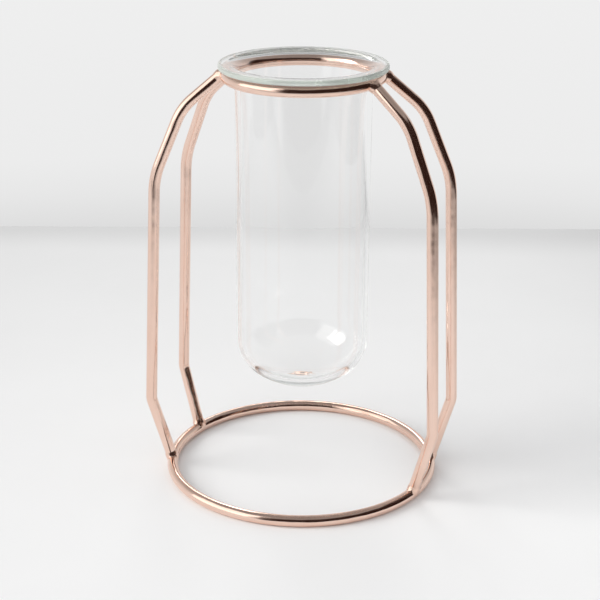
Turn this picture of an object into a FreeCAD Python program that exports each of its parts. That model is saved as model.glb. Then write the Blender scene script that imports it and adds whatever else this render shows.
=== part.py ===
"""A bent-wire stand with a glass test tube hanging in its collar, in millimetres.

The stand is a base ring and a smaller collar ring joined by four bent wire legs. The tube drops
through the collar and hangs on its own flange. The origin is the middle of the base ring on the
table, +Z is up, and the two close pairs of legs stand on the +X and the -X side.
"""
import FreeCAD, Part
import math
import os

import Sketcher

doc = FreeCAD.newDocument("TestTubeVase")
sheet = doc.addObject("Spreadsheet::Sheet", "Sizes")

# Every size that a maker would choose, in millimetres, with angles in degrees.
DRIVING_SIZES = {
    # The rings, measured across the middle of their wire.
    "wire_diameter": 4.0,
    "base_ring_diameter": 95.0,
    "collar_ring_diameter": 52.6,
    "collar_height": 146.0,
    # The gap where each ring's wire ends meet, filled by a weld dressed flush with the wire.
    "seam_gap": 1.6,
    # The legs, each in an upright plane through the middle of the stand.
    "leg_spread": 17.4,
    "shoulder_bend_radius": 20.0,
    "elbow_bend_radius": 30.0,
    "ankle_bend_radius": 7.0,
    "leg_end_reach": 1.2,
    "leg_end_rise": 0.2,
    "shoulder_reach": 15.1,
    "shoulder_drop": 11.6,
    "elbow_inset": 3.4,
    "elbow_drop": 36.0,
    "ankle_reach": 7.3,
    "ankle_rise": 26.4,
    # The weld bead round each end of a leg: how far it stands off the wire, and how far the
    # middle of a collar bead lies along the leg from its cut end.
    "bead_thickness": 0.45,
    "bead_offset": 1.0,
    # The tube, which hangs in the collar. Its bottom is a knuckle that turns in from the wall and
    # a flatter crown, whose middle lies lower than the knuckle alone would reach.
    "tube_clearance": 0.85,
    "tube_wall": 1.8,
    "tube_base_wall": 3.2,
    "tube_floor_gap": 34.0,
    "knuckle_radius": 14.0,
    "crown_drop": 3.1,
    # The flange that carries the tube, with the flat land left between its rounded edges. The
    # lip is the bore's wide flare into the flange, and the neck is the same flare outside.
    "flange_gap": 0.2,
    "flange_overhang": 0.7,
    "flange_thickness": 2.0,
    "flange_edge_land": 0.6,
    "lip_radius": 4.4,
    "neck_radius": 2.4,
}

for row, (alias, size) in enumerate(DRIVING_SIZES.items(), start=1):
    cell = "B" + str(row)
    sheet.set("A" + str(row), alias)
    sheet.set(cell, str(size))
    sheet.setAlias(cell, alias)
doc.recompute()

# Sizes that follow from the driving ones, as formulas over the sheet.
WIRE_RADIUS = "(Sizes.wire_diameter / 2)"
BASE_RADIUS = "(Sizes.base_ring_diameter / 2)"
COLLAR_RADIUS = "(Sizes.collar_ring_diameter / 2)"
TUBE_RADIUS = f"({COLLAR_RADIUS} - {WIRE_RADIUS} - Sizes.tube_clearance)"
BORE_RADIUS = f"({TUBE_RADIUS} - Sizes.tube_wall)"
FLANGE_RADIUS = f"({COLLAR_RADIUS} + {WIRE_RADIUS} + Sizes.flange_overhang)"
FLANGE_UNDERSIDE = f"(Sizes.collar_height + {WIRE_RADIUS} + Sizes.flange_gap)"
FLANGE_TOP = f"({FLANGE_UNDERSIDE} + Sizes.flange_thickness)"
FLANGE_EDGE_RADIUS = "(Sizes.flange_thickness - Sizes.flange_edge_land) / 2"
BEAD_RADIUS = f"{WIRE_RADIUS} + Sizes.bead_thickness"
ANKLE_REACH = f"({BASE_RADIUS} + Sizes.ankle_reach)"

# The corners of a leg from the collar to the base ring, each as reach from the axis and height.
LEG_CORNERS = (
    (f"{COLLAR_RADIUS} + Sizes.leg_end_reach", "Sizes.collar_height + Sizes.leg_end_rise"),
    (f"{COLLAR_RADIUS} + Sizes.shoulder_reach", "Sizes.collar_height - Sizes.shoulder_drop"),
    (f"{ANKLE_REACH} - Sizes.elbow_inset", "Sizes.collar_height - Sizes.elbow_drop"),
    (ANKLE_REACH, "Sizes.ankle_rise"),
    (BASE_RADIUS, WIRE_RADIUS),
)

# How tightly each middle corner of a leg is bent, in the same order.
BEND_RADII = ("Sizes.shoulder_bend_radius", "Sizes.elbow_bend_radius", "Sizes.ankle_bend_radius")

# Where each leg stands, as an angle round the axis from +X.
LEG_ANGLES = {
    "front_right": "-Sizes.leg_spread",
    "rear_right": "Sizes.leg_spread",
    "rear_left": "180 - Sizes.leg_spread",
    "front_left": "180 + Sizes.leg_spread",
}

# How a sketch constraint numbers the points of a line or arc, and the sketch's own axes.
START_INDEX = 1
END_INDEX = 2
CENTRE_INDEX = 3
ORIGIN_INDEX = -1
UPRIGHT_AXIS_INDEX = -2
Z_AXIS = FreeCAD.Vector(0, 0, 1)
FULL_TURN = 360.0
MATCH = 1e-6


def value(formula):
    """Return what a formula over the sheet comes to."""
    return float(sheet.evalExpression(formula))


def point(reach, height):
    """Return a sketch point at two formulas."""
    return FreeCAD.Vector(value(reach), value(height), 0)


def new_body(label):
    """Return an empty body that will be one piece of the vase."""
    body = doc.addObject("PartDesign::Body", label)
    body.Label = label
    return body


def new_sketch(body, name):
    """Return an empty sketch on the body's own upright plane, where x is reach and y is height."""
    sketch = body.newObject("Sketcher::SketchObject", name)
    support = next(item for item in body.Origin.OriginFeatures if item.Role == "XZ_Plane")
    sketch.AttachmentSupport = [(support, "")]
    sketch.MapMode = "FlatFace"
    return sketch


def bind(sketch, name, constraint, formula):
    """Add a dimension to a sketch and tie it to the sheet."""
    index = sketch.addConstraint(constraint)
    sketch.renameConstraint(index, name)
    sketch.setExpression("Constraints." + name, formula)


def pin_point(sketch, name, item, end, reach, height):
    """Hold one point of a sketch at a reach from the axis and a height."""
    spot = point(reach, height)
    across = Sketcher.Constraint("DistanceX", ORIGIN_INDEX, START_INDEX, item, end, spot.x)
    upward = Sketcher.Constraint("DistanceY", ORIGIN_INDEX, START_INDEX, item, end, spot.y)
    bind(sketch, name + "_reach", across, reach)
    bind(sketch, name + "_height", upward, height)


def bend_arc(before, corner, after, radius):
    """Return the arc that rounds a corner, and whether the path runs through it clockwise."""
    incoming = (corner - before).normalize()
    outgoing = (after - corner).normalize()
    clockwise = incoming.cross(outgoing).z < 0
    setback = radius * math.tan(incoming.getAngle(outgoing) / 2)
    first = corner - incoming * setback
    last = corner + outgoing * setback
    inward = FreeCAD.Vector(incoming.y, -incoming.x, 0)
    if not clockwise:
        inward = inward.negative()
    centre = first + inward * radius
    if clockwise:
        first, last = last, first
    start_angle = math.atan2(first.y - centre.y, first.x - centre.x)
    end_angle = math.atan2(last.y - centre.y, last.x - centre.x)
    circle = Part.Circle(centre, Z_AXIS, radius)
    return Part.ArcOfCircle(circle, start_angle, end_angle), clockwise


def draw_leg_path(sketch):
    """Draw the line of a leg's wire: four straight runs joined by three bends."""
    corners = [point(reach, height) for reach, height in LEG_CORNERS]
    runs = []
    for first, last in zip(corners, corners[1:]):
        runs.append(sketch.addGeometry(Part.LineSegment(first, last)))
    for number, bend_radius in enumerate(BEND_RADII, start=1):
        arc_shape, clockwise = bend_arc(*corners[number - 1:number + 2], value(bend_radius))
        arc = sketch.addGeometry(arc_shape)
        corner = sketch.addGeometry(Part.Point(corners[number]), True)
        before, after = runs[number - 1], runs[number]
        entry, leaving = (END_INDEX, START_INDEX) if clockwise else (START_INDEX, END_INDEX)
        sketch.addConstraint(Sketcher.Constraint("Tangent", before, END_INDEX, arc, entry))
        sketch.addConstraint(Sketcher.Constraint("Tangent", arc, leaving, after, START_INDEX))
        sketch.addConstraint(Sketcher.Constraint("PointOnObject", corner, START_INDEX, before))
        sketch.addConstraint(Sketcher.Constraint("PointOnObject", corner, START_INDEX, after))
        pin_point(sketch, "corner_" + str(number), corner, START_INDEX, *LEG_CORNERS[number])
        radius = Sketcher.Constraint("Radius", arc, value(bend_radius))
        bind(sketch, "bend_" + str(number), radius, bend_radius)
    pin_point(sketch, "upper_end", runs[0], START_INDEX, *LEG_CORNERS[0])
    pin_point(sketch, "lower_end", runs[-1], END_INDEX, *LEG_CORNERS[-1])


def draw_circle(sketch, name, reach, height, radius):
    """Draw a circle whose centre and radius follow the sheet."""
    outline = Part.Circle(point(reach, height), Z_AXIS, value(radius))
    circle = sketch.addGeometry(outline)
    pin_point(sketch, name + "_centre", circle, CENTRE_INDEX, reach, height)
    bind(sketch, name + "_radius", Sketcher.Constraint("Radius", circle, value(radius)), radius)


def make_leg(place, angle):
    """Make one leg: wire swept along its bent line, with both ends coped to fit the rings."""
    body = new_body("leg_" + place)
    path = new_sketch(body, "leg_line_" + place)
    draw_leg_path(path)
    doc.recompute()

    section = body.newObject("Sketcher::SketchObject", "leg_wire_section_" + place)
    section.AttachmentSupport = [(path, "Edge1")]
    section.MapMode = "NormalToEdge"
    draw_circle(section, "wire", "0", "0", WIRE_RADIUS)

    sweep = body.newObject("PartDesign::AdditivePipe", "leg_sweep_" + place)
    sweep.Profile = section
    sweep.Spine = path
    doc.recompute()

    ring_sections = new_sketch(body, "ring_sections_" + place)
    draw_circle(ring_sections, "collar", COLLAR_RADIUS, "Sizes.collar_height", WIRE_RADIUS)
    draw_circle(ring_sections, "base", BASE_RADIUS, WIRE_RADIUS, WIRE_RADIUS)
    cope = body.newObject("PartDesign::Groove", "leg_copes_" + place)
    cope.Profile = ring_sections
    cope.ReferenceAxis = (ring_sections, ["V_Axis"])
    cope.Angle = FULL_TURN

    body.Placement = FreeCAD.Placement(FreeCAD.Vector(), FreeCAD.Rotation(Z_AXIS, 0))
    body.setExpression("Placement.Rotation.Angle", angle)
    return body


def make_hoop_part(label, radius, height, swept_angle, first_angle):
    """Make one stretch of a ring's round wire, starting at an angle from +X."""
    hoop = doc.addObject("Part::Torus", label)
    hoop.Label = label
    hoop.setExpression("Radius1", radius)
    hoop.setExpression("Radius2", WIRE_RADIUS)
    hoop.setExpression("Angle3", swept_angle)
    hoop.Placement = FreeCAD.Placement(FreeCAD.Vector(), FreeCAD.Rotation(Z_AXIS, 0))
    hoop.setExpression("Placement.Base.z", height)
    hoop.setExpression("Placement.Rotation.Angle", first_angle)
    return hoop


def make_ring(label, radius, height):
    """Make a ring and the weld that closes it: a hoop open at the rear, and a short piece between.

    Returns the hoop and the weld.
    """
    gap_angle = f"(Sizes.seam_gap / {radius} * 180 / pi)"
    hoop = make_hoop_part(label, radius, height, f"360 - {gap_angle}", f"90 + {gap_angle} / 2")
    seam = make_hoop_part(label + "_seam_weld", radius, height, gap_angle, f"90 - {gap_angle} / 2")
    return hoop, seam


def make_bead(label, leg, ring, angle, end, neighbour, offset):
    """Make the weld bead round one end of a leg: a ball on the leg's line, less leg and ring."""
    run = f"(({neighbour[0]}) - ({end[0]}))"
    rise = f"(({neighbour[1]}) - ({end[1]}))"
    length = f"sqrt({run} ^ 2 + {rise} ^ 2)"
    reach = f"(({end[0]}) + {offset} * {run} / {length})"
    height = f"(({end[1]}) + {offset} * {rise} / {length})"

    ball = doc.addObject("Part::Sphere", label + "_ball")
    ball.setExpression("Radius", BEAD_RADIUS)
    ball.setExpression("Placement.Base.x", f"{reach} * cos(({angle}) * 1deg)")
    ball.setExpression("Placement.Base.y", f"{reach} * sin(({angle}) * 1deg)")
    ball.setExpression("Placement.Base.z", height)

    off_leg = doc.addObject("Part::Cut", label + "_off_leg")
    off_leg.Base = ball
    off_leg.Tool = leg
    bead = doc.addObject("Part::Cut", label)
    bead.Label = label
    bead.Base = off_leg
    bead.Tool = ring
    return bead


def draw_bowl(sketch, name, radius, lowest, knuckle, drop):
    """Draw one skin of the tube's round bottom: a crown arc and the knuckle that meets the wall.

    Returns the crown arc and the knuckle arc, which run from the axis outward.
    """
    crown = f"({knuckle} + {drop} / 2 + ({radius} - {knuckle}) ^ 2 / (2 * {drop}))"
    knuckle_spot = point(f"{radius} - {knuckle}", f"{lowest} + {knuckle} + {drop}")
    crown_spot = point("0", f"{lowest} + {crown}")
    meeting = math.atan2(knuckle_spot.y - crown_spot.y, knuckle_spot.x)
    crown_circle = Part.Circle(crown_spot, Z_AXIS, value(crown))
    knuckle_circle = Part.Circle(knuckle_spot, Z_AXIS, value(knuckle))
    crown_arc = sketch.addGeometry(Part.ArcOfCircle(crown_circle, -math.pi / 2, meeting))
    knuckle_arc = sketch.addGeometry(Part.ArcOfCircle(knuckle_circle, meeting, 0))

    for spot in (CENTRE_INDEX, START_INDEX):
        on_axis = Sketcher.Constraint("PointOnObject", crown_arc, spot, UPRIGHT_AXIS_INDEX)
        sketch.addConstraint(on_axis)
    sketch.addConstraint(Sketcher.Constraint("Tangent", crown_arc, END_INDEX, knuckle_arc, START_INDEX))
    low_point = Sketcher.Constraint(
        "DistanceY", ORIGIN_INDEX, START_INDEX, crown_arc, START_INDEX, value(lowest)
    )
    bind(sketch, name + "_low_point", low_point, lowest)
    bind(sketch, name + "_crown", Sketcher.Constraint("Radius", crown_arc, value(crown)), crown)
    knuckle_size = Sketcher.Constraint("Radius", knuckle_arc, value(knuckle))
    bind(sketch, name + "_knuckle", knuckle_size, knuckle)
    return crown_arc, knuckle_arc


def find_edges(shape, radius, height):
    """Return the names of the round edges of a given radius at a given height."""
    names = []
    for number, edge in enumerate(shape.Edges, start=1):
        if edge.Degenerated or not isinstance(edge.Curve, Part.Circle):
            continue
        same_radius = math.isclose(edge.Curve.Radius, radius, rel_tol=MATCH)
        same_height = math.isclose(edge.Curve.Center.z, height, rel_tol=MATCH)
        if same_radius and same_height:
            names.append("Edge" + str(number))
    return names


def round_edges(body, name, radius_formula, places):
    """Round the circles at the given places of a body's newest shape."""
    base = body.Tip
    names = []
    for reach, height in places:
        names += find_edges(base.Shape, value(reach), value(height))
    fillet = body.newObject("PartDesign::Fillet", name)
    fillet.Base = (base, names)
    fillet.setExpression("Radius", radius_formula)
    doc.recompute()
    return fillet


def make_glass_tube():
    """Make the tube: one turned glass wall with a round bottom and a flange at its mouth."""
    body = new_body("glass_tube")
    half = new_sketch(body, "tube_half_section")
    extra_glass = "(Sizes.tube_base_wall - Sizes.tube_wall)"
    outer_low = "Sizes.tube_floor_gap"
    inner_low = "(Sizes.tube_floor_gap + Sizes.tube_base_wall)"
    inner_knuckle = "(Sizes.knuckle_radius - Sizes.tube_wall)"
    inner_drop = f"(Sizes.crown_drop - {extra_glass})"
    outer_bowl = draw_bowl(
        half, "outer", TUBE_RADIUS, outer_low, "Sizes.knuckle_radius", "Sizes.crown_drop"
    )
    inner_bowl = draw_bowl(half, "inner", BORE_RADIUS, inner_low, inner_knuckle, inner_drop)
    shapes = half.Geometry
    outer_foot = shapes[outer_bowl[1]].EndPoint
    inner_foot = shapes[inner_bowl[1]].EndPoint

    corners = [
        outer_foot,
        point(TUBE_RADIUS, FLANGE_UNDERSIDE),
        point(FLANGE_RADIUS, FLANGE_UNDERSIDE),
        point(FLANGE_RADIUS, FLANGE_TOP),
        point(BORE_RADIUS, FLANGE_TOP),
        inner_foot,
    ]
    lines = []
    for first, last in zip(corners, corners[1:]):
        lines.append(half.addGeometry(Part.LineSegment(first, last)))
    for before, after in zip(lines, lines[1:]):
        half.addConstraint(Sketcher.Constraint("Coincident", before, END_INDEX, after, START_INDEX))
    wall, underside, edge, top, bore = lines
    half.addConstraint(Sketcher.Constraint("Tangent", outer_bowl[1], END_INDEX, wall, START_INDEX))
    half.addConstraint(Sketcher.Constraint("Tangent", bore, END_INDEX, inner_bowl[1], END_INDEX))
    for upright in (wall, edge, bore):
        half.addConstraint(Sketcher.Constraint("Vertical", upright))
    for level in (underside, top):
        half.addConstraint(Sketcher.Constraint("Horizontal", level))
    pin_point(half, "neck", wall, END_INDEX, TUBE_RADIUS, FLANGE_UNDERSIDE)
    pin_point(half, "rim", edge, END_INDEX, FLANGE_RADIUS, FLANGE_TOP)
    across = value(BORE_RADIUS)
    bore_line = Sketcher.Constraint("DistanceX", ORIGIN_INDEX, START_INDEX, bore, START_INDEX, across)
    bind(half, "bore_reach", bore_line, BORE_RADIUS)
    closing = half.addGeometry(Part.LineSegment(point("0", inner_low), point("0", outer_low)))
    half.addConstraint(Sketcher.Constraint("Coincident", closing, START_INDEX, inner_bowl[0], START_INDEX))
    half.addConstraint(Sketcher.Constraint("Coincident", closing, END_INDEX, outer_bowl[0], START_INDEX))

    turned = body.newObject("PartDesign::Revolution", "tube_turned")
    turned.Profile = half
    turned.ReferenceAxis = (half, ["V_Axis"])
    turned.Angle = FULL_TURN
    doc.recompute()

    rim_circles = ((FLANGE_RADIUS, FLANGE_UNDERSIDE), (FLANGE_RADIUS, FLANGE_TOP))
    round_edges(body, "flange_rounding", FLANGE_EDGE_RADIUS, rim_circles)
    round_edges(body, "lip_rounding", "Sizes.lip_radius", ((BORE_RADIUS, FLANGE_TOP),))
    round_edges(body, "neck_rounding", "Sizes.neck_radius", ((TUBE_RADIUS, FLANGE_UNDERSIDE),))
    return body


def check_document(pieces):
    """Stop if any object failed, or if a piece is not exactly one sound solid."""
    for item in doc.Objects:
        if "Invalid" in item.State or "Error" in item.State:
            raise RuntimeError("failed object: " + item.Name)
    for piece in pieces:
        shape = piece.Shape
        if shape.isNull() or not shape.isValid() or len(shape.Solids) != 1:
            raise RuntimeError("unsound piece: " + piece.Label)


def write_pieces(pieces):
    """Write each piece to a STEP file named after it."""
    os.makedirs("parts", exist_ok=True)
    for piece in pieces:
        piece.Shape.exportStep("parts/" + piece.Label + ".step")


base_ring, base_seam = make_ring("base_ring", BASE_RADIUS, WIRE_RADIUS)
collar_ring, collar_seam = make_ring("collar_ring", COLLAR_RADIUS, "Sizes.collar_height")
pieces = [base_ring, base_seam, collar_ring, collar_seam, make_glass_tube()]
for place, angle in LEG_ANGLES.items():
    leg = make_leg(place, angle)
    top_weld = make_bead(
        "collar_weld_" + place, leg, collar_ring, angle, LEG_CORNERS[0], LEG_CORNERS[1], "Sizes.bead_offset"
    )
    foot_weld = make_bead(
        "foot_weld_" + place, leg, base_ring, angle, LEG_CORNERS[-1], LEG_CORNERS[-2], WIRE_RADIUS
    )
    pieces += [leg, top_weld, foot_weld]

doc.recompute()
check_document(pieces)
write_pieces(pieces)
for piece in pieces:
    print(piece.Label, round(piece.Shape.Volume, 2), "mm3")
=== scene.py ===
# %% [markdown]
# Test tube vase: a lesson in cells.
# The vase is a stand of polished round wire with a glass test tube hanging in it.
# The construction model gives the place and size of every piece, so this script only
# rebuilds the surfaces more finely, gives them their finish and sets up a small photo studio.
# Blender works in metres here. Lengths of the vase are written in millimetres times MM.

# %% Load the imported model
import math

import bmesh
import bpy
import numpy as np
from mathutils import Matrix, Vector, noise


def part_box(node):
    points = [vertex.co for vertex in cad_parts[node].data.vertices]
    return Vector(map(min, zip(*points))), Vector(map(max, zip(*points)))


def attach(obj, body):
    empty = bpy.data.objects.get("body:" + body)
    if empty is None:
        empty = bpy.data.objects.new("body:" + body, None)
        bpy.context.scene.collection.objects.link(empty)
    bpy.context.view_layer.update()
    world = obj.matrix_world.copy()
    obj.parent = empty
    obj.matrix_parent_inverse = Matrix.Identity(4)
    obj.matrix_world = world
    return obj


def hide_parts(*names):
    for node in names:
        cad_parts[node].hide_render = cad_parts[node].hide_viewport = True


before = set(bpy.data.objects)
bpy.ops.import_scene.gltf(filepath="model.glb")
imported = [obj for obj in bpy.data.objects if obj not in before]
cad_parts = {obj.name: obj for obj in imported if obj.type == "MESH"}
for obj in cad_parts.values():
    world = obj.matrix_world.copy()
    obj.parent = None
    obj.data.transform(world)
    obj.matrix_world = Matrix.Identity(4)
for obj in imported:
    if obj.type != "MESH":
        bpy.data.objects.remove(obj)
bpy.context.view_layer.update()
MM = 0.001

# %% [markdown]
# The camera comes first, so that every later render can be laid beside the photograph.
# Its place was found by fitting the two rings, the legs and the glass rim to the photograph,
# which could also be done by eye with the picture as a camera background.
# A long lens from half a metre away keeps the two pairs of legs nearly parallel.

# %% Camera
LENS = 89.34
SENSOR = 36.0
CAMERA_DISTANCE = 531.06 * MM
CAMERA_TURN = math.radians(16.78)
CAMERA_DOWN = math.radians(20.524)
CAMERA_ROLL = math.radians(0.303)
AIM_HEIGHT = 64.815 * MM
AIM_SIDEWAYS = -0.785 * MM
NEAREST_SEEN = 10 * MM
STUDIO_RIGHT = Vector((math.cos(CAMERA_TURN), math.sin(CAMERA_TURN), 0))
STUDIO_BACK = Vector((-math.sin(CAMERA_TURN), math.cos(CAMERA_TURN), 0))
STUDIO_UP = Vector((0, 0, 1))


def place_camera():
    """Aim the camera at the vase's middle, from the front, a little to the right and above."""
    forward = STUDIO_BACK * math.cos(CAMERA_DOWN) - STUDIO_UP * math.sin(CAMERA_DOWN)
    up = STUDIO_RIGHT.cross(forward)
    turn = Matrix((STUDIO_RIGHT, up, -forward)).transposed().to_4x4()
    aim = STUDIO_RIGHT * AIM_SIDEWAYS + STUDIO_UP * AIM_HEIGHT
    camera = bpy.data.objects.new("camera", bpy.data.cameras.new("camera"))
    camera.data.lens = LENS
    camera.data.sensor_width = SENSOR
    camera.data.clip_start = NEAREST_SEEN
    bpy.context.scene.collection.objects.link(camera)
    place = Matrix.Translation(aim - forward * CAMERA_DISTANCE)
    camera.matrix_world = place @ turn @ Matrix.Rotation(CAMERA_ROLL, 4, "Z")
    bpy.context.scene.camera = camera
    return camera


camera = place_camera()
print("camera at", [round(x / MM) for x in camera.matrix_world.translation])

# %% [markdown]
# The wire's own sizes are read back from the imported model's boxes.
# A hoop's box is as high as its wire is thick, and half its width is the hoop's outer radius.

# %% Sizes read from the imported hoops
def hoop_sizes(node):
    """A hoop's radius on the wire's middle, its height and the radius of its wire."""
    low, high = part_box(node)
    wire_radius = (high.z - low.z) / 2
    return (high.y - low.y) / 2 - wire_radius, (high.z + low.z) / 2, wire_radius


base_radius, base_height, wire_radius = hoop_sizes("base_ring")
collar_radius, collar_height, _ = hoop_sizes("collar_ring")
print("wire", round(2 * wire_radius / MM, 2), "base hoop", round(2 * base_radius / MM, 2), "mm across")

# %% [markdown]
# Every wire piece is one round section carried along a line.
# A curve with a bevel would do that too, but a mesh made by hand can also keep, for each
# point, where it lay on the wire while that was still straight. Drawing marks and polish
# lines are then laid on the straight wire and follow it round every bend.
# The edges of the two ends are kept sharp, or the smooth shading would bend there.

# %% Carry a round section along a line
SECTION_SIDES = 48


def link_piece(name, bm):
    """Turn a finished bmesh into a linked object."""
    bmesh.ops.recalc_face_normals(bm, faces=bm.faces)
    mesh = bpy.data.meshes.new(name)
    bm.to_mesh(mesh)
    bm.free()
    piece = bpy.data.objects.new(name, mesh)
    bpy.context.scene.collection.objects.link(piece)
    return piece


def carry_section(name, points, plane_normal, radii):
    """A wire along points that lie in one plane, with one radius for each point."""
    along = np.gradient(points, axis=0)
    along /= np.linalg.norm(along, axis=1)[:, None]
    across = np.cross(along, plane_normal)
    steps = np.linalg.norm(np.diff(points, axis=0), axis=1)
    run = np.concatenate([[0.0], np.cumsum(steps)])
    bm = bmesh.new()
    straight = bm.verts.layers.float_vector.new("straight_wire")
    loops = []
    for place, side, reach, radius in zip(points, across, run, radii):
        ring = []
        for angle in np.arange(SECTION_SIDES) / SECTION_SIDES * math.tau:
            x, y = radius * math.cos(angle), radius * math.sin(angle)
            vert = bm.verts.new(place + side * x + plane_normal * y)
            vert[straight] = (reach / MM, x / MM, y / MM)
            ring.append(vert)
        loops.append(ring)
    for first, second in zip(loops, loops[1:]):
        for i in range(SECTION_SIDES):
            j = (i + 1) % SECTION_SIDES
            bm.faces.new((first[i], second[i], second[j], first[j])).smooth = True
    for end in (loops[0][::-1], loops[-1]):
        for edge in bm.faces.new(end).edges:
            edge.smooth = False
    return link_piece(name, bm)


# %% [markdown]
# The base hoop stands on the table and the smaller collar hoop carries the tube.
# Each is one length of wire rolled round, so it is left open at the rear by the width of the
# weld that closes it.

# %% Hoops
HOOP_STEPS = 256
SEAM_GAP = 1.6 * MM
REAR = math.pi / 2
UPRIGHT = np.array((0.0, 0.0, 1.0))


def hoop_arc(radius, height, start, end, steps):
    """Points on a level arc round the middle of the stand."""
    angles = np.linspace(start, end, steps)
    return np.stack([radius * np.cos(angles), radius * np.sin(angles), np.full(steps, height)], axis=1)


def make_hoop(name, radius, height):
    """A ring of wire with a gap at the rear for its weld."""
    half_gap = SEAM_GAP / 2 / radius
    points = hoop_arc(radius, height, REAR + half_gap, REAR + math.tau - half_gap, HOOP_STEPS)
    return carry_section(name, points, UPRIGHT, np.full(HOOP_STEPS, wire_radius))


base_hoop = make_hoop("base_hoop", base_radius, base_height)
collar_hoop = make_hoop("collar_hoop", collar_radius, collar_height)
print("hoops:", base_hoop.name, "and", collar_hoop.name, "left open by", SEAM_GAP / MM, "mm")

# %% [markdown]
# The hoops' seams were welded and then dressed nearly flush.
# The file leaves a shallow dip at each side of the weld and a slight unevenness on it, which
# is all that shows under the plating. The weld is never thicker than the wire.

# %% Dressed seams
SEAM_STEPS = 41
SEAM_OVERLAP = 0.5 * MM
SEAM_DIP = 0.012 * MM
SEAM_RIPPLE = 0.006 * MM
RIPPLES = 3
DIP_POWER = 4


def make_seam(name, radius, height):
    """The weld across a hoop's gap, nearly as thick as the wire and thinner at its sides."""
    half = (SEAM_GAP / 2 + SEAM_OVERLAP) / radius
    points = hoop_arc(radius, height, REAR - half, REAR + half, SEAM_STEPS)
    share = np.linspace(-1, 1, SEAM_STEPS)
    ripple = SEAM_RIPPLE * (1 + np.cos(share * RIPPLES * math.tau)) / 2
    return carry_section(name, points, UPRIGHT, wire_radius - SEAM_DIP * share ** DIP_POWER - ripple)


base_seam = make_seam("base_hoop_seam", base_radius, base_height)
collar_seam = make_seam("collar_hoop_seam", collar_radius, collar_height)
print("seams:", base_seam.name, "and", collar_seam.name)

# %% [markdown]
# Each leg is one wire with three bends, in an upright plane through the middle of the stand.
# The corners are the places where the straight runs would meet, given in millimetres as reach
# from the middle and height. An arc that touches both runs takes the place of each corner, and
# a point just before and just after it keeps the shading of the straight runs even.

# %% Bend a line round a corner
LEG_CORNERS = [(27.5, 146.2), (41.4, 134.4), (51.4, 110.0), (54.8, 26.4), (47.5, 2.0)]
BEND_STEPS = 16
HOLD = 0.4 * MM
leg_corners = [Vector(corner) * MM for corner in LEG_CORNERS]


def round_corner(before, corner, after, radius):
    """Points round one corner, with a point just before and just after to hold the runs straight."""
    into = (corner - before).normalized()
    out = (after - corner).normalized()
    turn = into.angle(out)
    start = corner - into * radius * math.tan(turn / 2)
    middle = start + (out - into * into.dot(out)).normalized() * radius
    sense = 1 if into.cross(out) > 0 else -1
    arc = []
    for share in np.linspace(0, 1, BEND_STEPS):
        arc.append(middle + Matrix.Rotation(sense * turn * share, 2) @ (start - middle))
    return [start - into * HOLD] + arc + [arc[-1] + out * HOLD]


runs = [(after - before).length for before, after in zip(leg_corners, leg_corners[1:])]
print("corner to corner in mm:", [round(run / MM, 1) for run in runs])

# %% [markdown]
# Shoulder and elbow are easy bends and the ankle is a tight one. The upper end is a cut end
# with a slightly rounded edge, which comes up just outside the collar's wire.
# The same leg stands in four places, two close together on each side, so its line is worked
# out once, in a plane of its own, and each leg turns that plane into its place.

# %% Legs
LEG_SPREAD = math.radians(17.4)
BEND_RADII = [20 * MM, 30 * MM, 7 * MM]
CUT_ROUND = 0.3 * MM
CUT_STEPS = 6
LEG_TURNS = {
    "front_right": -LEG_SPREAD,
    "rear_right": LEG_SPREAD,
    "rear_left": math.pi - LEG_SPREAD,
    "front_left": math.pi + LEG_SPREAD,
}


def leg_line():
    """The leg's points in its own plane, and how much thinner the wire is at each."""
    run = (leg_corners[1] - leg_corners[0]).normalized()
    points, thinner = [], []
    for angle in np.linspace(0, math.pi / 2, CUT_STEPS):
        points.append(leg_corners[0] + run * CUT_ROUND * (1 - math.cos(angle)))
        thinner.append(CUT_ROUND * (1 - math.sin(angle)))
    for before, corner, after, radius in zip(leg_corners, leg_corners[1:], leg_corners[2:], BEND_RADII):
        points += round_corner(before, corner, after, radius)
    points.append(leg_corners[-1])
    thinner += [0.0] * (len(points) - len(thinner))
    return points, np.array(thinner)


def make_leg(place, turn):
    """One leg, with its own plane turned by an angle from straight right."""
    line, thinner = leg_line()
    out = np.array((math.cos(turn), math.sin(turn), 0.0))
    side = np.array((-math.sin(turn), math.cos(turn), 0.0))
    points = np.array([out * point.x + UPRIGHT * point.y for point in line])
    return carry_section("leg_wire_" + place, points, side, wire_radius - thinner)


legs = {place: make_leg(place, turn) for place, turn in LEG_TURNS.items()}
print("legs:", ", ".join(legs))

# %% [markdown]
# At each end of a leg a small weld joins it to its ring: a drop of metal that has wetted both
# wires and runs out to nothing along them.
# Such a melted shape is easier to describe by distances than by faces. The soft union below
# joins two distances with a fillet, and the drop is the soft union of leg, ring and a small
# ball. Farther from its middle it sinks just under the wires, so no edge shows.

# %% Distances for a weld drop
DROP_BALL = 2.15 * MM
DROP_REACH = 3.6 * MM
DROP_BLEND = 1.3 * MM
BALL_BLEND = DROP_BLEND / 2
DROP_PROUD = 0.08 * MM
DROP_SINK = 0.4 * MM


def soft_union(first, second, blend):
    """The lesser of two distances, with a fillet where they are nearly equal."""
    share = np.clip(0.5 + (second - first) / (2 * blend), 0, 1)
    return second * (1 - share) + first * share - blend * share * (1 - share)


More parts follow.
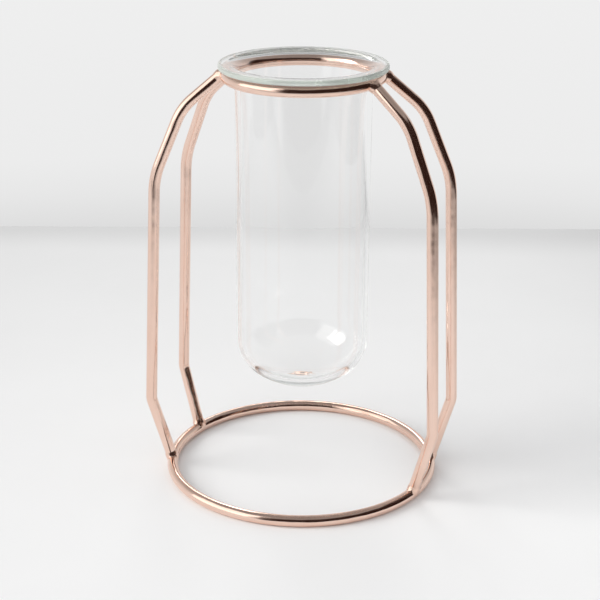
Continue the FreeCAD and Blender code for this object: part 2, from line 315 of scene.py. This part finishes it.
def drop_gap(points, ring_radius, ring_height, end, run, middle):
    """How far each point in the leg's plane axes lies outside the soft union."""
    reach, side, height = points
    ring = np.hypot(np.hypot(reach, side) - ring_radius, height - ring_height) - wire_radius
    along = (reach - end.x) * run.x + (height - end.y) * run.y
    away = (reach - end.x) * run.y - (height - end.y) * run.x
    leg = np.maximum(np.hypot(away, side) - wire_radius, -along)
    far = np.sqrt((reach - middle.x) ** 2 + side ** 2 + (height - middle.y) ** 2)
    ball = far - DROP_BALL
    wires = soft_union(leg, ring, DROP_BLEND)
    proud = DROP_PROUD - DROP_SINK * np.clip((far - wire_radius) / (DROP_REACH - wire_radius), 0, 1)
    return np.maximum(soft_union(wires, ball, BALL_BLEND) - proud, far - DROP_REACH)


print("a weld drop reaches", round(DROP_REACH / MM, 1), "mm from its middle")

# %% [markdown]
# The drop's skin is found by asking, in every direction from its middle, how far away the
# soft union ends. The directions are those of a globe's grid whose poles lie on the leg's
# line. Several distances are tried, and the skin lies between the last one inside and the
# first one outside.

# %% Find the skin of a weld drop
DROP_ROWS, DROP_COLUMNS, DROP_TRIES = 48, 72, 72


def globe_directions(run):
    """The directions of the grid, row by row, then the two poles."""
    polar = np.linspace(0, math.pi, DROP_ROWS)[1:-1]
    round_angles = np.arange(DROP_COLUMNS) / DROP_COLUMNS * math.tau
    polar, around = [grid.ravel() for grid in np.meshgrid(polar, round_angles, indexing="ij")]
    lift, spread, swing = np.cos(polar), np.sin(polar) * np.cos(around), np.sin(polar) * np.sin(around)
    directions = np.stack([lift * run.x + spread * run.y, swing, lift * run.y - spread * run.x], axis=1)
    poles = np.array([(run.x, 0, run.y), (-run.x, 0, -run.y)])
    return np.concatenate([directions, poles])


def drop_radii(directions, limits, *shape):
    """The distance from the middle to the drop's skin in each direction."""
    middle = shape[-1]
    tries = np.linspace(0, DROP_REACH, DROP_TRIES)[:, None]
    places = [
        middle.x + directions[:, 0] * tries,
        directions[:, 1] * tries,
        middle.y + directions[:, 2] * tries,
    ]
    gaps = drop_gap(places, *shape)
    gaps[(places[2] < limits[0]) | (places[2] > limits[1])] = DROP_REACH
    first_out = np.argmax(gaps > 0, axis=0)
    columns = np.arange(len(directions))
    inner, outer = gaps[first_out - 1, columns], np.minimum(gaps[first_out, columns], DROP_SINK)
    share = inner / (inner - outer)
    return tries[first_out - 1, 0] + share * (tries[1, 0] - tries[0, 0])


print("directions in a drop:", (DROP_ROWS - 2) * DROP_COLUMNS + 2)

# %% [markdown]
# Faces between the rows and fans at the two poles close the mesh. A fixed noise makes each
# drop slightly lumpy. The drops at the collar stop just under the glass flange, and those at
# the feet stop at the table.

# %% Weld drops
DROP_LUMP = 0.05 * MM
LUMPS_PER_METRE = 900
TOP_OFFSET = 1.0 * MM
FLANGE_LOW = 148.2 * MM
FLANGE_CLEAR = 0.06 * MM


def close_globe(bm, verts):
    """Faces over the rows of a globe's grid whose last two points are its poles."""
    rows = DROP_ROWS - 2
    for i in range(rows - 1):
        for j in range(DROP_COLUMNS):
            k = (j + 1) % DROP_COLUMNS
            near, far = i * DROP_COLUMNS, (i + 1) * DROP_COLUMNS
            bm.faces.new((verts[near + j], verts[near + k], verts[far + k], verts[far + j]))
    last = (rows - 1) * DROP_COLUMNS
    for j in range(DROP_COLUMNS):
        k = (j + 1) % DROP_COLUMNS
        bm.faces.new((verts[-2], verts[k], verts[j]))
        bm.faces.new((verts[-1], verts[last + j], verts[last + k]))
    for face in bm.faces:
        face.smooth = True


def make_drop(name, turn, ring_radius, ring_height, end, corner, offset, limits):
    """One weld drop where a leg's end meets a ring; the leg runs from the end to the corner."""
    run = (corner - end).normalized()
    middle = end + run * offset
    directions = globe_directions(run)
    radii = drop_radii(directions, limits, ring_radius, ring_height, end, run, middle)
    bm = bmesh.new()
    spin = Matrix.Rotation(turn, 3, "Z")
    verts = []
    for direction, radius in zip(directions, radii):
        point = spin @ (Vector((middle.x, 0, middle.y)) + Vector(direction) * radius)
        lump = noise.noise(point * LUMPS_PER_METRE) * DROP_LUMP
        point += spin @ Vector(direction) * lump
        point.z = min(max(point.z, limits[0]), limits[1])
        verts.append(bm.verts.new(point))
    close_globe(bm, verts)
    return link_piece(name, bm)


drops = {}
for place, turn in LEG_TURNS.items():
    drops["collar_weld_" + place] = make_drop(
        "collar_drop_" + place, turn, collar_radius, collar_height,
        leg_corners[0], leg_corners[1], TOP_OFFSET, (0.0, FLANGE_LOW - FLANGE_CLEAR),
    )
    drops["foot_weld_" + place] = make_drop(
        "foot_drop_" + place, turn, base_radius, base_height,
        leg_corners[-1], leg_corners[-2], wire_radius, (0.0, FLANGE_LOW),
    )
print("weld drops:", len(drops))

# %% [markdown]
# The tube is one turned piece of glass with a round bottom. Its bowl isn't a half ball: a
# shallow crown runs into a tighter knuckle at the wall, and both arcs have the same slope
# where they meet. The bore's bowl is made in the same way, only higher and smaller.

# %% Arcs for the tube's profile
ROUND_STEPS = 16


def arc_points(centre, radius, start, end):
    """Points on an arc in the profile's plane, angles measured from straight out."""
    angles = np.linspace(start, end, ROUND_STEPS)
    return [Vector((centre[0] + radius * math.cos(a), centre[1] + radius * math.sin(a))) for a in angles]


def bowl(lowest, reach, height, knuckle):
    """The rounded bottom: a shallow crown that runs into a tighter knuckle."""
    drop = height - knuckle - lowest
    link = (reach ** 2 + drop ** 2) / (2 * drop)
    middle = lowest + link + knuckle
    meet = math.atan2(height - middle, reach)
    crown = arc_points((0, middle), link + knuckle, -math.pi / 2, meet)
    return crown + arc_points((reach, height), knuckle, meet, 0)[1:]


print("points in each arc:", ROUND_STEPS)

# %% [markdown]
# The profile runs from the crown of the bottom, up the outside, round the flange and down the
# bore again. The mouth is flared: the wall bends outward over the collar at its own thickness,
# so there is no sharp inner lip. Points close to each end of a straight run keep its shading
# straight. Each point is turned once round the middle, which gives a ring of points, and faces
# join each ring to the next.

# %% Glass tube
OUTER_WALL = 23.45 * MM
BORE = 21.65 * MM
KNUCKLE = 14 * MM
CROWN_DROP = 3.1 * MM
TUBE_BOTTOM = 34 * MM
BASE_WALL = 3.2 * MM
FLANGE_RADIUS = 29.0 * MM
FLANGE_HIGH = 150.2 * MM
EDGE_ROUND = 0.7 * MM
LIP_ROUND = 4.4 * MM
NECK_ROUND = 2.4 * MM
TUBE_SIDES = 192
LONG_RUN = 4 * HOLD
ON_AXIS = 0.001 * MM


def tube_profile():
    """The outline of half the glass, from the bottom's middle outside to its middle inside."""
    height = TUBE_BOTTOM + KNUCKLE + CROWN_DROP
    reach = OUTER_WALL - KNUCKLE
    outside = bowl(TUBE_BOTTOM, reach, height, KNUCKLE)
    inside = bowl(TUBE_BOTTOM + BASE_WALL, reach, height, KNUCKLE - (OUTER_WALL - BORE))
    neck = arc_points((OUTER_WALL + NECK_ROUND, FLANGE_LOW - NECK_ROUND), NECK_ROUND, math.pi, math.pi / 2)
    edge = FLANGE_RADIUS - EDGE_ROUND
    under = arc_points((edge, FLANGE_LOW + EDGE_ROUND), EDGE_ROUND, -math.pi / 2, 0)
    over = arc_points((edge, FLANGE_HIGH - EDGE_ROUND), EDGE_ROUND, 0, math.pi / 2)
    lip = arc_points((BORE + LIP_ROUND, FLANGE_HIGH - LIP_ROUND), LIP_ROUND, math.pi / 2, math.pi)
    return outside + neck + under + over + lip + inside[::-1]


def hold_runs(profile):
    """Add a point close to each end of every long straight run."""
    held = [profile[0]]
    for before, after in zip(profile, profile[1:]):
        run = after - before
        if run.length > LONG_RUN:
            held += [before + run.normalized() * HOLD, after - run.normalized() * HOLD]
        held.append(after)
    return held


def turned_ring(bm, point):
    """One profile point turned round the middle; a point on the middle stays a single one."""
    if point.x < ON_AXIS:
        return [bm.verts.new((0, 0, point.y))] * TUBE_SIDES
    angles = np.arange(TUBE_SIDES) / TUBE_SIDES * math.tau
    return [bm.verts.new((point.x * math.cos(a), point.x * math.sin(a), point.y)) for a in angles]


def make_tube(name):
    """Join the turned rings; at the middle a ring is one point, which is used only once."""
    bm = bmesh.new()
    rings = [turned_ring(bm, point) for point in hold_runs(tube_profile())]
    for first, second in zip(rings, rings[1:]):
        for i in range(TUBE_SIDES):
            j = (i + 1) % TUBE_SIDES
            corners = dict.fromkeys((first[i], first[j], second[j], second[i]))
            bm.faces.new(list(corners)).smooth = True
    return link_piece(name, bm)


tube = make_tube("test_tube")
print("tube points:", len(tube.data.vertices))

# %% [markdown]
# Finishes are built from a few small helpers: one adds a shader node with its inputs, one
# makes cloudy noise, and two turn a noise into a span of values or of colours.
# Cloudy noise keeps close to the middle of its range, so its darkest and brightest places
# are taken as 0.3 and 0.7.

# %% Helpers for finishes
DARKEST_CLOUD, BRIGHTEST_CLOUD = 0.3, 0.7


def add_node(tree, kind, inputs, **settings):
    """Add a shader node; an input is given either a value or another node's output."""
    made = tree.nodes.new("ShaderNode" + kind)
    for name, setting in settings.items():
        setattr(made, name, setting)
    for name, given in inputs.items():
        if isinstance(given, bpy.types.NodeSocket):
            tree.links.new(given, made.inputs[name])
        else:
            made.inputs[name].default_value = given
    return made


def new_finish(name):
    """A new material, its node tree and its main shader."""
    finish = bpy.data.materials.new(name)
    finish.use_nodes = True
    return finish, finish.node_tree, finish.node_tree.nodes["Principled BSDF"]


def stretched(tree, coords, scales):
    """Coordinates multiplied by a scale for each axis."""
    return add_node(tree, "VectorMath", {0: coords, 1: scales}, operation="MULTIPLY").outputs["Vector"]


def clouds(tree, coords, detail=3.0):
    """Cloudy noise; more detail adds finer clouds on top of the coarse ones."""
    return add_node(tree, "TexNoise", {"Vector": coords, "Scale": 1.0, "Detail": detail}).outputs["Fac"]


def span(tree, value, low, high, start=DARKEST_CLOUD, end=BRIGHTEST_CLOUD):
    """A value that runs from low to high while the given one runs from start to end."""
    limits = {"Value": value, "From Min": start, "From Max": end, "To Min": low, "To Max": high}
    return add_node(tree, "MapRange", limits, interpolation_type="SMOOTHSTEP").outputs["Result"]


def colour_span(tree, value, stops):
    """A colour that runs through the stops, each a value and the colour at it."""
    ramp = add_node(tree, "ValToRGB", {"Fac": value})
    elements = ramp.color_ramp.elements
    while len(elements) < len(stops):
        elements.new(1.0)
    for element, (place, colour) in zip(elements, stops):
        element.position = place
        element.color = (*colour, 1)
    return ramp.outputs["Color"]


def product(tree, first, second):
    return add_node(tree, "Math", {0: first, 1: second}, operation="MULTIPLY").outputs["Value"]


def raised(tree, height, depth, below=None):
    """Bend the surface normal as if the height stood up by the given depth."""
    inputs = {"Height": height, "Distance": depth, "Strength": 1.0}
    if below is not None:
        inputs["Normal"] = below
    return add_node(tree, "Bump", inputs).outputs["Normal"]


print("helpers for finishes are defined")

# %% [markdown]
# The stand is steel wire, polished and then plated rose gold: a thin coppery layer that
# mirrors the room. Its colour drifts slightly where the plating is thicker, the polish left
# faint lines along the wire, and the wire is not perfectly straight to the eye.
# Under the base hoop the plating is scuffed where it slides on the table.
# Each kind of cloud is given as clouds per millimetre, first along the wire and then across.

# %% Rose-gold plated wire
PLATING_PATCHES = (0.06, 0.3, 0.3)
DRAW_LINES = (0.12, 3.0, 3.0)
WOBBLES = (0.16, 0.35, 0.35)
DRAW_LINE_DEPTH = 0.008 * MM
WOBBLE_DEPTH = 0.12 * MM
PLATING_TONES = [(DARKEST_CLOUD, (0.88, 0.63, 0.52)), (BRIGHTEST_CLOUD, (0.92, 0.685, 0.58))]
WIRE_ROUGH = (0.11, 0.19)
SCUFF_LOW, SCUFF_HIGH = 0.1 * MM, 0.7 * MM
SCUFF_ROUGHER = 3.0


def plated_wire():
    finish, tree, shader = new_finish("rose_gold_plated_wire")
    straight = add_node(tree, "Attribute", {}, attribute_name="straight_wire").outputs["Vector"]
    thickness = clouds(tree, stretched(tree, straight, PLATING_PATCHES))
    lines = clouds(tree, stretched(tree, straight, DRAW_LINES))
    wobble = clouds(tree, stretched(tree, straight, WOBBLES), detail=1.0)
    height = add_node(tree, "SeparateXYZ", {"Vector": add_node(tree, "TexCoord", {}).outputs["Object"]})
    scuff = span(tree, height.outputs["Z"], SCUFF_ROUGHER, 1.0, SCUFF_LOW, SCUFF_HIGH)
    tree.links.new(colour_span(tree, thickness, PLATING_TONES), shader.inputs["Base Color"])
    shader.inputs["Metallic"].default_value = 1
    tree.links.new(product(tree, span(tree, lines, *WIRE_ROUGH), scuff), shader.inputs["Roughness"])
    normal = raised(tree, wobble, WOBBLE_DEPTH)
    tree.links.new(raised(tree, lines, DRAW_LINE_DEPTH, normal), shader.inputs["Normal"])
    return finish


wire_finish = plated_wire()
for piece in (base_hoop, collar_hoop, *legs.values()):
    piece.data.materials.append(wire_finish)
print("finish of hoops and legs:", wire_finish.name)

# %% [markdown]
# The welds lie under the same plating, but they were never polished as long as the wire.
# They are rougher, a shade darker, and keep the ripples and pits of the cooling metal.
# Ripples and pits, and the clouds of the other finishes, are given as clouds per metre.

# %% Plated welds
WELD_GRAIN = (900, 900, 900)
WELD_PITS = (2600, 2600, 2600)
WELD_DEPTH = 0.02 * MM
PIT_DEPTH = 0.004 * MM
WELD_TONES = [(DARKEST_CLOUD, (0.84, 0.59, 0.48)), (BRIGHTEST_CLOUD, (0.915, 0.675, 0.565))]
WELD_ROUGH = (0.16, 0.26)


def plated_weld():
    finish, tree, shader = new_finish("rose_gold_plated_weld")
    coords = add_node(tree, "TexCoord", {}).outputs["Object"]
    grain = clouds(tree, stretched(tree, coords, WELD_GRAIN))
    pits = clouds(tree, stretched(tree, coords, WELD_PITS), detail=2.0)
    tree.links.new(colour_span(tree, grain, WELD_TONES), shader.inputs["Base Color"])
    shader.inputs["Metallic"].default_value = 1
    tree.links.new(span(tree, pits, *WELD_ROUGH), shader.inputs["Roughness"])
    normal = raised(tree, grain, WELD_DEPTH)
    tree.links.new(raised(tree, pits, PIT_DEPTH, normal), shader.inputs["Normal"])
    return finish


weld_finish = plated_weld()
for piece in (base_seam, collar_seam, *drops.values()):
    piece.data.materials.append(weld_finish)
print("finish of seams and drops:", weld_finish.name)

# %% [markdown]
# The glass is clear with a faint green cast, which shows only where light runs a long way
# inside it, as in the flange. Drawing the tube left slow waves that run up the wall.
# The flange's edge was only melted smooth in a flame, so it is cloudy: there the glass lets
# less light through, scatters the rest and looks like a pale green band.

# %% Clear glass
GLASS_GREEN = (0.62, 0.86, 0.74)
GREEN_PER_METRE = 2.0
WALL_WAVES = (160, 160, 12)
WAVE_DEPTH = 0.03 * MM
RIM_START, RIM_END = 27.4 * MM, 28.7 * MM
RIM_ROUGH = (0.245, 0.35)
RIM_TINTS = [(0.0, (1, 1, 1)), (1.0, (0.80, 0.84, 0.79))]
RIM_CLEAR = 0.45
GLASS_BENDING = 1.5
SIDEWAYS = (1, 1, 0)


def clear_glass():
    finish, tree, shader = new_finish("clear_drawn_glass")
    coords = add_node(tree, "TexCoord", {}).outputs["Object"]
    waves = clouds(tree, stretched(tree, coords, WALL_WAVES), detail=2.0)
    outward = stretched(tree, coords, SIDEWAYS)
    reach = add_node(tree, "VectorMath", {0: outward}, operation="LENGTH").outputs["Value"]
    rim = span(tree, reach, 0.0, 1.0, RIM_START, RIM_END)
    clear = span(tree, reach, 1.0, RIM_CLEAR, RIM_START, RIM_END)
    melted = product(tree, span(tree, waves, *RIM_ROUGH), rim)
    tree.links.new(colour_span(tree, rim, RIM_TINTS), shader.inputs["Base Color"])
    tree.links.new(clear, shader.inputs["Transmission Weight"])
    tree.links.new(melted, shader.inputs["Roughness"])
    shader.inputs["IOR"].default_value = GLASS_BENDING
    tree.links.new(raised(tree, waves, WAVE_DEPTH), shader.inputs["Normal"])
    green = {"Color": (*GLASS_GREEN, 1), "Density": GREEN_PER_METRE}
    depth = add_node(tree, "VolumeAbsorption", green)
    tree.links.new(depth.outputs["Volume"], tree.nodes["Material Output"].inputs["Volume"])
    return finish


glass_finish = clear_glass()
tube.data.materials.append(glass_finish)
print("finish of the tube:", glass_finish.name)

# %% [markdown]
# Each new piece now takes the place of the imported node it was made for, and rides on the
# same body when the tube is lifted out.

# %% Put the pieces on the bodies
def dress(piece, body, node):
    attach(piece, body)
    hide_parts(node)


for piece, node in ((base_hoop, "base_ring"), (collar_hoop, "collar_ring")):
    dress(piece, "stand", node)
for piece, node in ((base_seam, "base_ring_seam_weld"), (collar_seam, "collar_ring_seam_weld")):
    dress(piece, "stand", node)
for place, leg in legs.items():
    dress(leg, "stand", "leg_" + place)
for node, drop in drops.items():
    dress(drop, "stand", node)
dress(tube, "tube", "glass_tube")
stand_pieces = [base_hoop, collar_hoop, base_seam, collar_seam, *legs.values(), *drops.values()]
print("pieces on the stand:", len(stand_pieces), "and the tube on a body of its own")

# %% [markdown]
# The table is a painted white board. Painted shade in its colour makes it brightest in the
# middle and falls off toward its edges, where the room is darker, with a soft band of painted
# shade along its back edge where it meets the wall. The plating mirrors all of that. Its white
# is slightly cool, because the lamps are slightly warm.
# Each row of painted shade is its direction, where it starts and ends, and the share of white left.
# It is a finite sheet, because the dark room beyond it has to show in the wire, and the painted
# shade is darkest at its front edge, so that the glass doesn't mirror a hard line there. Its paint
# is quite dull, so that it doesn't glare when it is seen from the other sides.

# %% Table
TABLE_BACK = 287 * MM
TABLE_FRONT = 400 * MM
TABLE_RIGHT = 450 * MM
TABLE_LEFT = 1500 * MM
TABLE_WHITE = 0.94
TABLE_TINT = (0.988, 0.996, 1.008)
EDGE_TURN = 0.03
# Rows of painted shade multiplied into the board's white, toward its right, front, left and back edges.
TABLE_PAINTED_SHADE = [
    (STUDIO_RIGHT, 90 * MM, 400 * MM, 0.53),
    (-STUDIO_BACK, 110 * MM, 380 * MM, 0.72),
    (-STUDIO_BACK, 260 * MM, TABLE_FRONT, 0.45),
    (-STUDIO_RIGHT, 0, 250 * MM, 0.92),
    (STUDIO_BACK, -60 * MM, TABLE_BACK, 0.85),
    (STUDIO_BACK + STUDIO_RIGHT * EDGE_TURN, 238 * MM, TABLE_BACK, 0.85),
]
TABLE_PATCHES = (14, 14, 14)
PATCH_SHARE = 0.985
BRUSH_MARKS = (60, 900, 60)
BRUSH_DEPTH = 0.01 * MM
PAINT_ROUGH = 0.6


def studio_point(right, back, up):
    """A point given as the photographer sees it: to the right, to the back and up."""
    return STUDIO_RIGHT * right + STUDIO_BACK * back + STUDIO_UP * up


def stage_sheet(name, verts, faces, finish):
    """A sheet that belongs to the studio and not to the vase."""
    mesh = bpy.data.meshes.new(name)
    mesh.from_pydata(verts, [], faces)
    mesh.materials.append(finish)
    sheet = bpy.data.objects.new(name, mesh)
    bpy.context.scene.collection.objects.link(sheet)
    return sheet


def painted_board():
    finish, tree, shader = new_finish("painted_board")
    coords = add_node(tree, "TexCoord", {}).outputs["Object"]
    patches = clouds(tree, stretched(tree, coords, TABLE_PATCHES))
    white = span(tree, patches, TABLE_WHITE * PATCH_SHARE, TABLE_WHITE)
    # Each row lays its painted shade on the white.
    for direction, start, end, left in TABLE_PAINTED_SHADE:
        along = add_node(tree, "VectorMath", {0: coords, 1: direction}, operation="DOT_PRODUCT")
        white = product(tree, white, span(tree, along.outputs["Value"], 1.0, left, start, end))
    painted = add_node(tree, "VectorMath", {0: white, 1: TABLE_TINT}, operation="MULTIPLY")
    tree.links.new(painted.outputs["Vector"], shader.inputs["Base Color"])
    brush = clouds(tree, stretched(tree, coords, BRUSH_MARKS))
    tree.links.new(raised(tree, brush, BRUSH_DEPTH), shader.inputs["Normal"])
    shader.inputs["Roughness"].default_value = PAINT_ROUGH
    shader.inputs["Specular IOR Level"].default_value = 0.0
    return finish


table_verts = [
    studio_point(right, back, 0)
    for right, back in (
        (-TABLE_LEFT, -TABLE_FRONT),
        (TABLE_RIGHT, -TABLE_FRONT),
        (TABLE_RIGHT, TABLE_BACK),
        (-TABLE_LEFT, TABLE_BACK),
    )
]
table = stage_sheet("table_top", table_verts, [(0, 1, 2, 3)], painted_board())
table_size = (TABLE_LEFT + TABLE_RIGHT, TABLE_FRONT + TABLE_BACK)
print(table.name, "in mm:", [round(size / MM) for size in table_size])

# %% [markdown]
# The wall behind the table is white and far out of focus, so it needs no mesh: the world
# itself gives its brightness by the height of the view, in rows of degrees above level and
# brightness. The darker lowest rows are painted shade where the wall meets the table's back
# edge. Higher up it turns into the dimmer room.
# Only the camera, the wire and the glass see that wall. A matte surface, also one that is lit
# through the glass, gets an even white fill from the same world instead.

# %% Wall and fill light
FILL_LIGHT = 0.64
HALF = 0.5
# The lowest rows are painted shade along the foot of the wall, where it meets the table.
WALL_LEVELS = [
    (-18, 0.70),
    (-16.3, 0.80),
    (-15, 0.84),
    (-9, 0.86),
    (10, 0.80),
    (35, 0.45),
    (90, 0.25),
]


def larger(tree, first, second):
    """The larger of two values, which is an either-or when both are 0 or 1."""
    return add_node(tree, "Math", {0: first, 1: second}, operation="MAXIMUM").outputs["Value"]


def count_over(tree, count):
    """1 for a line of sight that has met at least one surface of a kind, otherwise 0."""
    met = add_node(tree, "LightPath", {}).outputs[count]
    return add_node(tree, "Math", {0: met, 1: HALF}, operation="GREATER_THAN").outputs["Value"]


def before_matte(tree):
    """1 for a line of sight that has met no matte surface yet, otherwise 0."""
    matte = count_over(tree, "Diffuse Depth")
    return add_node(tree, "Math", {0: 1.0, 1: matte}, operation="SUBTRACT").outputs["Value"]


def make_world():
    """The wall for lines of sight from the camera, wire and glass, and the fill for all others."""
    world = bpy.data.worlds.new("studio")
    bpy.context.scene.world = world
    world.use_nodes = True
    tree = world.node_tree
    tree.nodes.clear()
    view = add_node(tree, "TexCoord", {}).outputs["Generated"]
    rise = add_node(tree, "SeparateXYZ", {"Vector": view}).outputs["Z"]
    low = math.sin(math.radians(WALL_LEVELS[0][0]))
    share = add_node(tree, "MapRange", {"Value": rise, "From Min": low, "From Max": 1.0}).outputs["Result"]
    stops = [((math.sin(math.radians(up)) - low) / (1 - low), (level,) * 3) for up, level in WALL_LEVELS]
    wall = add_node(tree, "Background", {"Color": colour_span(tree, share, stops)})
    fill = add_node(tree, "Background", {"Color": (1, 1, 1, 1), "Strength": FILL_LIGHT})
    path = add_node(tree, "LightPath", {}).outputs
    seen = larger(tree, path["Is Glossy Ray"], path["Is Transmission Ray"])
    seen = product(tree, larger(tree, path["Is Camera Ray"], seen), before_matte(tree))
    both = {"Fac": seen, 1: fill.outputs["Background"], 2: wall.outputs["Background"]}
    add_node(tree, "OutputWorld", {"Surface": add_node(tree, "MixShader", both).outputs["Shader"]})


make_world()
print("fill light:", FILL_LIGHT)

# %% [markdown]
# A big soft window on the left lights the vase, and a small bright one stands behind. Both
# are mirrored as pale strips in the wire.
# A low lamp, also on the left, throws the faint shadows to the right and gives the white
# patch in the tube's bottom. It is much brighter than the window, so the wire doesn't mirror
# it, or it would glare there. The small window isn't seen through the glass, where it would
# be a hard bright patch.
# The rest of the room is dark, and that is what gives polished metal its contrast. Its darkness
# is a painted reflection: a warm, dimly glowing screen with soft edges stands round the right and
# the photographer's side. It shows only in a mirror, so the clear glass never has a dark shape behind it.
# Turns and rises are in degrees, seen from the vase, and distances and sizes in metres.

# %% Windows and dark room
WINDOW_AIM = 75 * MM
WINDOW_COLOUR = (1.0, 0.98, 0.95)
LEFT_WINDOW = {"turn": -143, "rise": 30, "distance": 5.2, "wide": 5.6, "high": 4.8, "brightness": 1.0}
REAR_WINDOW = {"turn": 116, "rise": 37, "distance": 1.2, "wide": 0.3, "high": 0.55, "brightness": 3.0}
LOW_LAMP = {"turn": -158, "rise": 28, "distance": 8.0, "wide": 4.4, "high": 4.4, "brightness": 4.6}
DARK_ROOM = {"turns": (-112, 43), "rises": (-20, 54), "distance": 1.6, "colour": (0.024, 0.010, 0.007)}
SOFT_EDGE = 10
SCREEN_CELLS = 48


def toward(turn, rise, distance):
    """A place seen from the middle, turned from the right and raised from level, in degrees."""
    a, e = math.radians(turn), math.radians(rise)
    return Vector((math.cos(a) * math.cos(e), math.sin(a) * math.cos(e), math.sin(e))) * distance


def hang_window(name, turn, rise, distance, wide, high, brightness):
    """A lamp as large as a window that faces the vase; the camera itself doesn't see it."""
    light = bpy.data.lights.new(name, "AREA")
    light.shape = "RECTANGLE"
    light.size, light.size_y = wide, high
    light.color = WINDOW_COLOUR
    light.energy = brightness * math.pi * wide * high
    window = bpy.data.objects.new(name, light)
    aim = STUDIO_UP * WINDOW_AIM
    window.location = aim + toward(turn, rise, distance)
    window.rotation_euler = (aim - window.location).to_track_quat("-Z", "Y").to_euler()
    window.visible_camera = False
    bpy.context.scene.collection.objects.link(window)
    return window


def dark_reflection_finish(name, colour):
    """A painted dark reflection: a finish that glows with one dim colour, clear wherever it must not be
    seen.
    """
    finish = bpy.data.materials.new(name)
    finish.use_nodes = True
    tree = finish.node_tree
    tree.nodes.clear()
    # The dim glow paints the dark room's reflection in the wire.
    glow = add_node(tree, "Emission", {"Color": (*colour, 1)})
    cover = add_node(tree, "Attribute", {}, attribute_name="cover").outputs["Fac"]
    cover = product(tree, cover, product(tree, before_matte(tree), count_over(tree, "Glossy Depth")))
    clear = add_node(tree, "BsdfTransparent", {})
    sheet = {"Fac": cover, 1: clear.outputs["BSDF"], 2: glow.outputs["Emission"]}
    add_node(tree, "OutputMaterial", {"Surface": add_node(tree, "MixShader", sheet).outputs["Shader"]})
    return finish


def inside(place, ends):
    """How far a place is inside two ends, from 0 at an end to 1 past the soft edge."""
    share = min(place - ends[0], ends[1] - place, SOFT_EDGE) / SOFT_EDGE
    return share * share * (3 - 2 * share)


def hang_screen(name, turns, rises, distance, colour):
    """Part of a dark ball round the vase, between two turns and two rises."""
    row = SCREEN_CELLS + 1
    verts, faces, cover = [], [], []
    for turn in np.linspace(*turns, row):
        for rise in np.linspace(*rises, row):
            verts.append(toward(turn, rise, distance))
            cover.append(inside(turn, turns) * inside(rise, rises))
    for i in range(SCREEN_CELLS):
        for j in range(SCREEN_CELLS):
            corner = i * row + j
            faces.append((corner, corner + row, corner + row + 1, corner + 1))
    screen = stage_sheet(name, verts, faces, dark_reflection_finish(name, colour))
    screen.data.attributes.new("cover", "FLOAT", "POINT").data.foreach_set("value", cover)
    screen.visible_camera = False
    screen.visible_diffuse = False
    screen.visible_shadow = False


left_window = hang_window("left_window", **LEFT_WINDOW)
rear_window = hang_window("rear_window", **REAR_WINDOW)
rear_window.visible_transmission = False
low_lamp = hang_window("low_lamp", **LOW_LAMP)
low_lamp.visible_glossy = False
hang_screen("dark_room", **DARK_ROOM)
for light in (left_window, rear_window, low_lamp):
    print(light.name, "hangs at", [round(place, 1) for place in light.location], "m")

# %% [markdown]
# Glass needs many bounces: with few, light that is caught inside the flange turns black.
# The plain standard view keeps the colours as they were written.

# %% Render settings
BOUNCES = 96
bpy.context.scene.view_settings.view_transform = "Standard"
bpy.context.scene.cycles.glossy_bounces = BOUNCES
bpy.context.scene.cycles.transmission_bounces = BOUNCES
bpy.context.scene.cycles.max_bounces = BOUNCES
print("bounces:", BOUNCES)

# %% Update the scene
bpy.context.view_layer.update()
